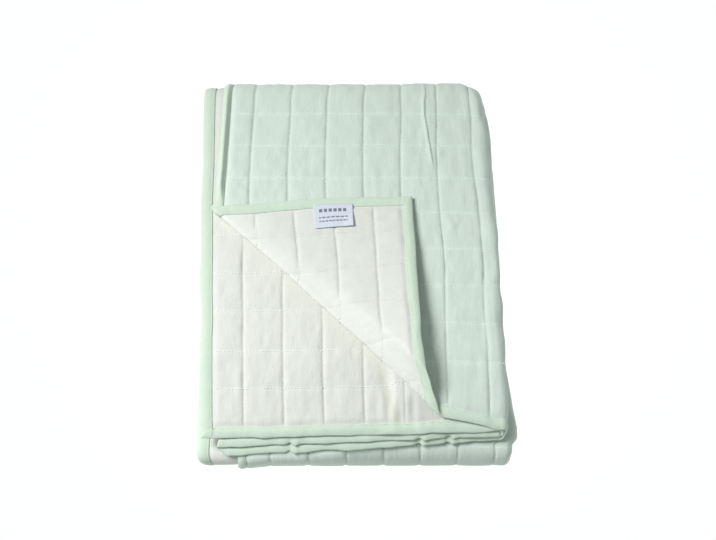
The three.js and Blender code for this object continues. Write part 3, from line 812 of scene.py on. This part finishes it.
def closed_sheet(name, across, along, outer, inner, material, shade, turned_over):
    """A closed sheet: a fine outside, a coarser inside that isn't seen, and a rim."""
    (us, keep_u), (vs, keep_v) = across, along
    u, v = np.meshgrid(us, vs, indexing="ij")
    iu, iv = np.meshgrid(us[keep_u], vs[keep_v], indexing="ij")
    outside = lay(u, v, outer(u, v))
    inside = lay(iu, iv, inner(iu, iv))
    numbers = np.arange(u.size).reshape(u.shape)
    under = u.size + np.arange(iu.size).reshape(iu.shape)
    near_u = np.abs(np.arange(len(us))[:, None] - keep_u).argmin(1)
    near_v = np.abs(np.arange(len(vs))[:, None] - keep_v).argmin(1)
    faces = net(numbers).tolist() + net(under)[:, ::-1].tolist()
    faces += rim(numbers[:, 0], under[near_u, 0]) + rim(numbers[-1], under[-1, near_v])
    faces += rim(numbers[::-1, -1], under[near_u, -1][::-1])
    faces += rim(numbers[0, ::-1], under[0, near_v][::-1])
    if turned_over:
        faces = [f[::-1] for f in faces]
    points = np.concatenate([outside.reshape(-1, 3), inside.reshape(-1, 3)])
    cloth = np.concatenate([np.stack([u, v], -1).reshape(-1, 2),
                            np.stack([iu, iv], -1).reshape(-1, 2)])
    # Painted shade and highlight on the outside; none on the inside
    dark = np.concatenate([shade(u, v).ravel(), np.zeros(iu.size)])
    return piece(name, points, faces, material, cloth, dark)


# The binding

def tape_section():
    """Closed section of the folded tape.

    It runs out along the top, round the edge and back underneath, then returns along the
    inside, one tape thickness in.
    """
    under = (1, -1)
    return np.concatenate([TAPE_TOP, [(0, 0)], TAPE_TOP[::-1] * under, TAPE_HOLLOW * under,
                           [(TAPE_INSIDE, 0)], TAPE_HOLLOW[::-1]])


def mitred(at, d, length):
    """Place along a side: lines near a corner draw together towards its mitre."""
    near = d + (BINDING_WIDTH - d) * at / BINDING_WIDTH
    far = length - d - (BINDING_WIDTH - d) * (length - at) / BINDING_WIDTH
    return np.where(at < BINDING_WIDTH, near,
                    np.where(at > length - BINDING_WIDTH, far, at))


def tape_ring():
    """Cloth coordinates of the tape's section carried round the quilt, with mitred corners.

    It starts at the hidden end.  Gives u, v, height, and the way along and across the tape.
    """
    section = tape_section()
    d, height = section[None, :, 0], section[:, 1]
    (across, _), (along, _) = joined(0, TAPE_ACROSS), joined(0, TAPE_ALONG)
    back, left = across[::-1][:-1, None], along[::-1][:-1, None]
    front, right = across[:-1, None], along[:-1, None]
    u = np.concatenate([mitred(back, d, WIDTH), d + 0 * left, mitred(front, d, WIDTH),
                        WIDTH - d + 0 * right])
    v = np.concatenate([LENGTH - d + 0 * back, mitred(left, d, LENGTH), d + 0 * front,
                        mitred(right, d, LENGTH)])
    edge_u, edge_v = u[:, len(TAPE_TOP)], v[:, len(TAPE_TOP)]
    way = np.append(0, np.cumsum(np.hypot(np.diff(edge_u), np.diff(edge_v))))[:, None]
    girth = np.append(0, np.cumsum(np.hypot(np.diff(section[:, 0]), np.diff(section[:, 1]))))
    uneven = 0.16 * noise(way / 3.7, d / 8, 41) + 0.12 * noise(way / 19, d / 12, 42)
    uneven = uneven - BUTT_GROOVE * np.concatenate([
        0 * back, left == BINDING_WIDTH, front == WIDTH - BINDING_WIDTH, 0 * right])
    inside_cut = d < TAPE_TOP[1, 0]
    height = height + np.sign(height) * uneven * smooth(np.abs(height) - 0.6) * inside_cut
    return u, v, height, way + 0 * d, girth[None, :] + 0 * way


# Threads

def tubes(u, v, lengthwise, level, sizes, first):
    """Short stitches: round threads that rise out of the cloth and dive back into it.

    u and v are the middles of the stitches; lengthwise says which ones run along v.  The
    radius is that of an ellipse along the stitch, and level gives the cloth's surface.  Their
    points are numbered from first on.
    """
    t = np.linspace(-1, 1, RINGS)[None, :, None]
    turn = np.linspace(0, 2 * np.pi, AROUND, endpoint=False)[None, None, :]
    u, v, along_v = u[:, None, None], v[:, None, None], lengthwise[:, None, None]
    step = t * sizes.stitch / 2 + 0 * turn
    radius = sizes.thread * np.where(along_v, *THREAD_SHARES) * np.sqrt(1 - (0.95 * t) ** 2)
    # the first row lies where the cloth is stretched, so its threads are drawn narrower
    in_first_row = (np.abs(v - CELL_ALONG) < 3) & (u < U[1]) & ~along_v
    side = np.where(in_first_row, NARROW_THREAD, 1) * radius * np.cos(turn)
    mid_u = u + np.where(along_v, 0, step)
    mid_v = v + np.where(along_v, step, 0)
    surface = level(mid_u, mid_v)
    bow = sizes.thread * (0.8 - 1.4 * t ** 2)
    off = surface + np.sign(surface) * bow + radius * np.sin(turn)
    points = lay(mid_u + np.where(along_v, side, 0), mid_v - np.where(along_v, 0, side), off)
    numbers = np.arange(RINGS * AROUND).reshape(RINGS, AROUND)
    numbers = np.hstack([numbers, numbers[:, :1]])
    base = first + RINGS * AROUND * np.arange(len(points))[:, None, None]
    sides = (net(numbers)[None] + base).reshape(-1, 4)
    caps = np.stack([numbers[0, :-1][::-1], numbers[-1, :-1]])
    faces = sides.tolist() + (caps[None] + base).reshape(-1, AROUND).tolist()
    cloth = np.stack([np.broadcast_to(mid_u + mid_v, points.shape[:-1]),
                      np.broadcast_to(turn, points.shape[:-1])], -1).reshape(-1, 2)
    return points.reshape(-1, 3), faces, cloth


def sewn_lines(columns, rows, u_range, v_range, pitch):
    """Middles of the stitches along columns and rows, within a stretch of the cloth."""
    vs = np.arange(v_range[0] + pitch / 2, v_range[1], pitch)
    us = np.arange(u_range[0] + pitch / 2, u_range[1], pitch)
    cu, cv = np.meshgrid(columns, vs, indexing="ij")
    ru, rv = np.meshgrid(us, rows, indexing="ij")
    u = np.concatenate([cu.ravel(), ru.ravel()])
    v = np.concatenate([cv.ravel(), rv.ravel()])
    return u, v, np.arange(u.size) < cu.size


# Materials

class Nodes:
    """A material's node tree, with short ways to add and join nodes."""

    def __init__(self, name):
        self.material = bpy.data.materials.new(name)
        self.material.use_nodes = True
        self.tree = self.material.node_tree
        self.tree.nodes.clear()
        self.shader = self.add("ShaderNodeBsdfPrincipled")
        output = self.add("ShaderNodeOutputMaterial")
        self.tree.links.new(self.shader.outputs["BSDF"], output.inputs["Surface"])

    def add(self, kind, values=None, **settings):
        """A node with its settings, and its inputs set or linked."""
        node = self.tree.nodes.new(kind)
        for key, value in settings.items():
            setattr(node, key, value)
        for key, value in (values or {}).items():
            self.put(node.inputs[key], value)
        return node

    def put(self, socket, value):
        """Links a socket to an output, or sets its number or colour."""
        if isinstance(value, bpy.types.NodeSocket):
            self.tree.links.new(value, socket)
        else:
            socket.default_value = value

    def made(self, values):
        """The material, once inputs of its shader are set or linked."""
        for key, value in values.items():
            self.put(self.shader.inputs[key], value)
        return self.material

    def cloth(self):
        """The cloth coordinates, in metres."""
        return self.add("ShaderNodeUVMap", uv_map="cloth").outputs[0]

    def stretched(self, cloth, across, along, turn=0.0):
        """Cloth coordinates scaled differently across and along, and turned."""
        return self.add("ShaderNodeMapping", {
            "Vector": cloth, "Scale": (across, along, 1.0), "Rotation": (0.0, 0.0, turn),
        }).outputs[0]

    def maths(self, operation, a, b=0.0):
        """A sum or another operation on one value or two."""
        return self.add("ShaderNodeMath", {0: a, 1: b}, operation=operation).outputs[0]

    def weighed(self, a, share_a, b, share_b):
        """Sum of two values, each times its share."""
        return self.maths("ADD", self.maths("MULTIPLY", a, share_a),
                          self.maths("MULTIPLY", b, share_b))

    def near(self, value, centre, half):
        """One where a value is within half of a centre, else zero."""
        apart = self.maths("ABSOLUTE", self.maths("SUBTRACT", value, centre))
        return self.maths("LESS_THAN", apart, half)

    def between(self, value, out_low, out_high, low=0.3, high=0.7):
        """A value from low to high, as noise mostly is, brought to another range."""
        return self.add("ShaderNodeMapRange", {
            "Value": value, "From Min": low, "From Max": high, "To Min": out_low,
            "To Max": out_high}).outputs[0]

    def blend(self, share, low, high):
        """A colour between two, by a share."""
        node = self.add("ShaderNodeMix", data_type="RGBA")
        for name, value in (("Factor_Float", share), ("A_Color", low), ("B_Color", high)):
            self.put(next(s for s in node.inputs if s.identifier == name), value)
        return next(s for s in node.outputs if s.identifier == "Result_Color")

    def noise(self, vector, scale, detail, roughness=0.5):
        """Noise from 0 to 1."""
        return self.add("ShaderNodeTexNoise", {
            "Vector": vector, "Scale": scale, "Detail": detail, "Roughness": roughness,
        }).outputs["Fac"]

    def bands(self, vector, values, way="X"):
        """Waves side by side, as threads lie."""
        return self.add("ShaderNodeTexWave", {"Vector": vector, **values}, wave_type="BANDS",
                        bands_direction=way).outputs["Fac"]

    def woven(self, vector, values):
        """Threads both ways: the product of two crossed waves."""
        return self.maths("MULTIPLY", *(self.bands(vector, values, way) for way in "XY"))

    def bump(self, strength, distance, height, **more):
        """A normal that is tilted by a height."""
        return self.add("ShaderNodeBump", {
            "Strength": strength, "Distance": distance, "Height": height, **more}).outputs[0]


def tinted(colour, amount):
    """A colour made lighter or darker in all three channels."""
    return (*(min(1.0, c * amount) for c in colour[:3]), 1.0)


def washed_cotton(name, colour, shadow, painted_highlight, slub=1.0):
    """Plain-woven washed cotton.

    Threads both ways as crossed waves, slubs as noise drawn out along the warp and the weft,
    a slow unevenness of dye, a painted shade down in the stitched columns and beside the
    corner's fold, and a paler painted highlight along the rows and on the corner's roll.
    """
    n = Nodes(name)
    cloth = n.cloth()
    warp = n.noise(n.stretched(cloth, 1.0, 0.045), 620, 3, 0.6)
    weft = n.noise(n.stretched(cloth, 0.06, 1.0), 560, 3, 0.6)
    dye = n.noise(n.stretched(cloth, 1.0, 0.55), 26, 4, 0.6)
    crumple = n.noise(n.stretched(cloth, 1.0, 0.45), 190, 4, 0.6)
    streaks = n.weighed(warp, 0.6, weft, 0.4)
    toned = n.blend(n.between(streaks, 0, 1),
                    tinted(colour, 1 - 0.045 * slub), tinted(colour, 1 + 0.04 * slub))
    dyed = n.blend(n.between(dye, 0, 0.5), toned, tinted(colour, 0.97))
    # Painted shade where the attribute is positive, painted highlight where it is negative
    painted_light = n.add("ShaderNodeAttribute", attribute_name="painted_light").outputs["Fac"]
    shaded = n.blend(n.maths("MULTIPLY", painted_light, 0.55), dyed, shadow)
    woven = n.woven(cloth, {"Scale": COTTON_THREADS / BANDS_PER_SCALE, "Distortion": 1.2,
                            "Detail": 1.0, "Detail Scale": 0.6})
    fine = n.bump(0.35, 0.0003, n.weighed(woven, 0.2, streaks, 1.4))
    return n.made({
        "Base Color": n.blend(n.maths("MULTIPLY", painted_light, -1.0), shaded, tinted(colour, painted_highlight)),
        "Normal": n.bump(0.60, 0.0012, crumple, Normal=fine),
        "Roughness": n.between(streaks, 0.96, 0.86), "Specular IOR Level": 0.25,
        "Sheen Weight": 0.22, "Sheen Roughness": 0.45, "Sheen Tint": tinted(colour, 1.1)})


def bias_tape(name, colour):
    """Cotton tape cut on the bias: slanting threads, a firm smooth face and small shine."""
    n = Nodes(name)
    cloth = n.cloth()
    slant = n.stretched(cloth, 1.0, 1.0, np.pi / 4)
    woven = n.woven(slant, {"Scale": 420.0, "Distortion": 0.8, "Detail": 1.0})
    slub = n.noise(n.stretched(slant, 1.0, 0.08), 500, 3, 0.6)
    dye = n.noise(cloth, 45, 3)
    toned = n.blend(n.between(slub, 0, 1), tinted(colour, 0.955), tinted(colour, 1.03))
    return n.made({
        "Base Color": n.blend(n.between(dye, 0, 0.6, low=0.35), toned, tinted(colour, 0.96)),
        "Normal": n.bump(0.3, 0.0004, n.weighed(woven, 0.5, slub, 1.0)),
        "Roughness": n.between(slub, 0.9, 0.78), "Specular IOR Level": 0.3,
        "Sheen Weight": 0.2, "Sheen Roughness": 0.4})


def sewing_thread(name, colour):
    """Two-ply polyester thread: plies as slanting bands, with a soft shine."""
    n = Nodes(name)
    ply = n.bands(n.stretched(n.cloth(), 1.0, 0.35, 0.6), {"Scale": 420.0, "Distortion": 0.4})
    return n.made({
        "Base Color": n.blend(ply, tinted(colour, 0.86), tinted(colour, 1.04)),
        "Normal": n.bump(0.4, 0.0002, ply),
        "Roughness": n.between(ply, 0.7, 0.5, 0, 1), "Sheen Weight": 0.15})


def label_satin(name, colour, sizes):
    """Woven satin ribbon: close fine ribs along it, a cool white and a low shine.

    The print is plain: a row of blank squares, as for washing signs, over two broken lines.
    """
    n = Nodes(name)
    cloth = n.cloth()
    rib = n.bands(cloth, {"Scale": 620.0, "Distortion": 0.6})
    floats = n.noise(n.stretched(cloth, 1.0, 0.06), 900, 2)
    woven = n.blend(n.between(floats, 0, 1), tinted(colour, 0.96), tinted(colour, 1.03))
    place = n.add("ShaderNodeSeparateXYZ", {0: cloth}).outputs
    half = sizes.label_width / 2
    inside = n.near(place[1], (LABEL_V + half) * MM, (half - LABEL_MARGIN) * MM)
    lines = 0.0
    for down, tall, pitch, share in LABEL_PRINT:
        along = n.maths("FRACT", n.maths("DIVIDE", place[1], pitch * MM))
        line = n.maths("MULTIPLY", n.near(place[0], (LABEL_U + down) * MM, tall * MM),
                       n.maths("LESS_THAN", along, share))
        lines = n.maths("ADD", lines, line)
    ink = n.maths("MULTIPLY", n.maths("MULTIPLY", inside, lines), LABEL_COVER)
    return n.made({
        "Base Color": n.blend(ink, woven, LABEL_INK),
        "Normal": n.bump(0.25, 0.0002, n.maths("ADD", rib, floats)),
        "Roughness": n.between(floats, 0.62, 0.48), "Specular IOR Level": 0.4})


def studio_paper(name, colour):
    """Matt white backdrop paper with a faint tooth."""
    n = Nodes(name)
    tooth = n.noise(n.add("ShaderNodeTexCoord").outputs["Object"], 700, 2)
    return n.made({
        "Base Color": n.blend(tooth, tinted(colour, 0.99), tinted(colour, 1.01)),
        "Roughness": 0.95, "Specular IOR Level": 0.05})


# Operators

def sizes_of(context):
    """The sizes that the panel shows."""
    return context.scene.bedspread_sizes


def colours_of(context):
    """The colours that the panel shows."""
    return context.scene.bedspread_colours


class BEDSPREAD_OT_face_cloth(bpy.types.Operator):
    """Make the mint face cloth with its half of the wadding"""

    bl_idname = "bedspread.face_cloth"
    bl_label = "Face cloth"

    def execute(self, context):
        colour = colours_of(context).face
        made = closed_sheet(
            "face_cloth", joined(TUCK, FACE_ACROSS, COLUMNS), joined(TUCK, FACE_ALONG, ROWS),
            partial(face_surface, sizes=sizes_of(context)), lambda u, v: HALF_SLIT,
            washed_cotton("mint washed cotton", colour, tinted(colour, FACE_SHADOW), FACE_HIGHLIGHT),
            lambda u, v: painted_shade_and_highlight(u, v, face_state(u, v)[1]), False)
        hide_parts("face_panel")
        return {"FINISHED"}


class BEDSPREAD_OT_reverse_cloth(bpy.types.Operator):
    """Make the cream reverse cloth with its half of the wadding"""

    bl_idname = "bedspread.reverse_cloth"
    bl_label = "Reverse cloth"

    def execute(self, context):
        made = closed_sheet(
            "reverse_cloth", joined(TUCK, REVERSE_ACROSS, COLUMNS),
            joined(TUCK, REVERSE_ALONG, ROWS),
            partial(reverse_surface, sizes=sizes_of(context)), lambda u, v: -HALF_SLIT,
            washed_cotton("cream washed cotton", colours_of(context).reverse, REVERSE_SHADOW,
                          REVERSE_HIGHLIGHT, REVERSE_SLUB),
            lambda u, v: painted_shade_and_highlight(u, v, reverse_state(u, v)[1]), True)
        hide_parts("reverse_panel")
        return {"FINISHED"}


class BEDSPREAD_OT_binding_tape(bpy.types.Operator):
    """Make the folded tape that binds all four edges"""

    bl_idname = "bedspread.binding_tape"
    bl_label = "Binding tape"

    def execute(self, context):
        u, v, height, way, girth = tape_ring()
        numbers = np.arange(u.size).reshape(u.shape)
        numbers = np.vstack([numbers, numbers[:1]])
        numbers = np.hstack([numbers, numbers[:, :1]])
        made = piece(
            "binding_tape", lay(u, v, height), net(numbers)[:, ::-1].tolist(),
            bias_tape("mint bias tape", colours_of(context).binding),
            np.stack([way, girth], -1).reshape(-1, 2))
        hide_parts("binding")
        return {"FINISHED"}


class BEDSPREAD_OT_care_label(bpy.types.Operator):
    """Make the plain white label on the turned-back corner"""

    bl_idname = "bedspread.care_label"
    bl_label = "Care label"

    def execute(self, context):
        sizes = sizes_of(context)
        made = closed_sheet(
            "label_ribbon", joined(LABEL_U, [(LABEL_U + sizes.label_depth, LABEL_SPACING)]),
            joined(LABEL_V, [(LABEL_V + sizes.label_width, LABEL_SPACING)]),
            lambda u, v: -label_height(u, v) - LABEL_THICK, lambda u, v: -label_height(u, v),
            label_satin("white label satin", colours_of(context).label, sizes),
            lambda u, v: 0 * u, True)
        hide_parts("care_label")
        return {"FINISHED"}


class BEDSPREAD_OT_sewing_threads(bpy.types.Operator):
    """Make the stitches that show: the quilting on both cloths and the binding's top stitching"""

    bl_idname = "bedspread.sewing_threads"
    bl_label = "Sewing threads"

    def execute(self, context):
        sizes, colours = sizes_of(context), colours_of(context)
        pitch = sizes.stitch_pitch
        rows, left = ROWS[ROWS < V[2]], COLUMNS[COLUMNS < U[1]]
        right = COLUMNS[(COLUMNS > U[6]) & (COLUMNS < WIDTH - INSET)]

        u, v, lengthwise = sewn_lines(left, rows, (INSET, U[2]), (INSET, V[4]), pitch)
        beyond, _ = turned(u, v)
        shown = ((v < V[1]) & (beyond < -2)) | ((v >= V[1]) & (v < V[2])) | (v > V[3])
        level = partial(face_surface, sizes=sizes)
        self.sew("face_stitching", [(u[shown], v[shown], lengthwise[shown], level)],
                 sizes, "face_cloth", tinted(colours.face, FACE_THREAD))

        level = partial(reverse_surface, sizes=sizes)
        u, v, lengthwise = sewn_lines(left, rows, (INSET, FLAP_U), (INSET, FLAP_V), pitch)
        beyond, radius = turned(u, v)
        shown = beyond > 1.2 * radius
        flap = u[shown], v[shown], lengthwise[shown], level
        u, v, lengthwise = sewn_lines(right, rows, (U[6], WIDTH - INSET), (INSET, V[1]), pitch)
        beyond, radius = turned(u, v)
        shown = (beyond > 0.5 * radius) | (u > WIDTH - 45)
        bare = u[shown], v[shown], lengthwise[shown], level
        self.sew("reverse_stitching", [flap, bare], sizes, "reverse_cloth",
                 tinted(colours.reverse, REVERSE_THREAD))

        along = np.arange(BINDING_WIDTH, V[2], pitch)
        across = np.arange(BINDING_WIDTH, WIDTH - BINDING_WIDTH, pitch)
        edges = []
        for up in (STITCH_UP, -STITCH_UP):
            for at in (STITCH_IN, WIDTH - STITCH_IN):
                edges.append((at + 0 * along, along, along > 0, lambda u, v, up=up: up))
            edges.append((across, STITCH_IN + 0 * across, across < 0, lambda u, v, up=up: up))
        self.sew("binding_stitching", edges, sizes, "binding_tape",
                 tinted(colours.binding, BINDING_THREAD))
        return {"FINISHED"}

    def sew(self, name, groups, sizes, slot, colour):
        """One mesh of all the stitches of some groups."""
        points, faces, cloth = [], [], []
        for u, v, lengthwise, level in groups:
            made, near, flat = tubes(u, v, lengthwise, level, sizes, sum(map(len, points)))
            points.append(made)
            faces += near
            cloth.append(flat)
        return piece(name, np.concatenate(points), faces,
                     sewing_thread(name.replace("_", " ") + " thread", colour),
                     np.concatenate(cloth))


class BEDSPREAD_OT_stage(bpy.types.Operator):
    """Make the pale floor, the soft studio light and the camera"""

    bl_idname = "bedspread.stage"
    bl_label = "Stage"

    def execute(self, context):
        scene = context.scene
        mesh = bpy.data.meshes.new("floor")
        mesh.from_pydata([(-FLOOR_HALF, -FLOOR_HALF, 0), (FLOOR_HALF, -FLOOR_HALF, 0),
                          (FLOOR_HALF, FLOOR_HALF, 0), (-FLOOR_HALF, FLOOR_HALF, 0)], [],
                         [(0, 1, 2, 3)])
        mesh.materials.append(studio_paper("white studio paper", colours_of(context).floor))
        floor = bpy.data.objects.new("floor", mesh)
        scene.collection.objects.link(floor)

        world = bpy.data.worlds.new("studio")
        world.use_nodes = True
        sky = world.node_tree.nodes["Background"]
        sky.inputs["Color"].default_value = SKY_COLOUR
        sky.inputs["Strength"].default_value = SKY_STRENGTH
        scene.world = world
        for name, state, *softbox in LIGHTS:
            light = self.softbox(name, *softbox)
            scene.collection.objects.link(light)
            lit = bpy.data.collections.new(name + " lights")
            lit.objects.link(floor)
            lit.collection_objects[0].light_linking.link_state = state
            light.light_linking.receiver_collection = lit
            if state == "INCLUDE":
                light.light_linking.blocker_collection = lit

        lens = bpy.data.cameras.new("camera")
        lens.sensor_fit, lens.sensor_width, lens.lens = "HORIZONTAL", CAMERA_SENSOR, CAMERA_LENS
        lens.clip_start, lens.clip_end = CAMERA_CLIP
        camera = bpy.data.objects.new("camera", lens)
        camera.location = (
            SHIFT_X * MM, SHIFT_Y * MM - CAMERA_AWAY * np.cos(CAMERA_TILT),
            CAMERA_AIM_Z + CAMERA_AWAY * np.sin(CAMERA_TILT))
        camera.rotation_euler = (np.pi / 2 - CAMERA_TILT, 0.0, 0.0)
        scene.collection.objects.link(camera)
        scene.camera = camera
        scene.view_settings.view_transform = "Standard"
        return {"FINISHED"}

    def softbox(self, name, place, aim, power, spread):
        """A round soft light that looks from a place to another."""
        lamp = bpy.data.lights.new(name, "AREA")
        lamp.shape, lamp.size, lamp.energy = "DISK", SOFTBOX_SIZE, power
        lamp.spread = np.radians(spread)
        light = bpy.data.objects.new(name, lamp)
        light.location = place
        way = np.subtract(aim, place)
        light.rotation_euler = (np.arctan2(np.hypot(way[0], way[1]), -way[2]), 0.0,
                                np.arctan2(-way[0], way[1]))
        return light


class BEDSPREAD_PT_pieces(bpy.types.Panel):
    """Sizes, colours and pieces of the folded bedspread."""

    bl_idname = "BEDSPREAD_PT_pieces"
    bl_label = "Folded bedspread"
    bl_space_type = "VIEW_3D"
    bl_region_type = "UI"
    bl_category = "Bedspread"

    def draw(self, context):
        for group in (sizes_of(context), colours_of(context)):
            box = self.layout.box()
            for name in group.__annotations__:
                box.prop(group, name)
        for operator in OPERATORS:
            self.layout.operator(operator.bl_idname)


OPERATORS = (
    BEDSPREAD_OT_stage, BEDSPREAD_OT_face_cloth, BEDSPREAD_OT_reverse_cloth,
    BEDSPREAD_OT_binding_tape, BEDSPREAD_OT_care_label, BEDSPREAD_OT_sewing_threads)
CLASSES = (BedspreadSizes, BedspreadColours, *OPERATORS, BEDSPREAD_PT_pieces)


def register():
    for made in CLASSES:
        bpy.utils.register_class(made)
    bpy.types.Scene.bedspread_sizes = bpy.props.PointerProperty(type=BedspreadSizes)
    bpy.types.Scene.bedspread_colours = bpy.props.PointerProperty(type=BedspreadColours)


def unregister():
    del bpy.types.Scene.bedspread_colours
    del bpy.types.Scene.bedspread_sizes
    for made in reversed(CLASSES):
        bpy.utils.unregister_class(made)


def main():
    register()
    for operator in ("stage", "face_cloth", "reverse_cloth", "binding_tape", "care_label",
                     "sewing_threads"):
        getattr(bpy.ops.bedspread, operator)()


if __name__ == "__main__":
    main()
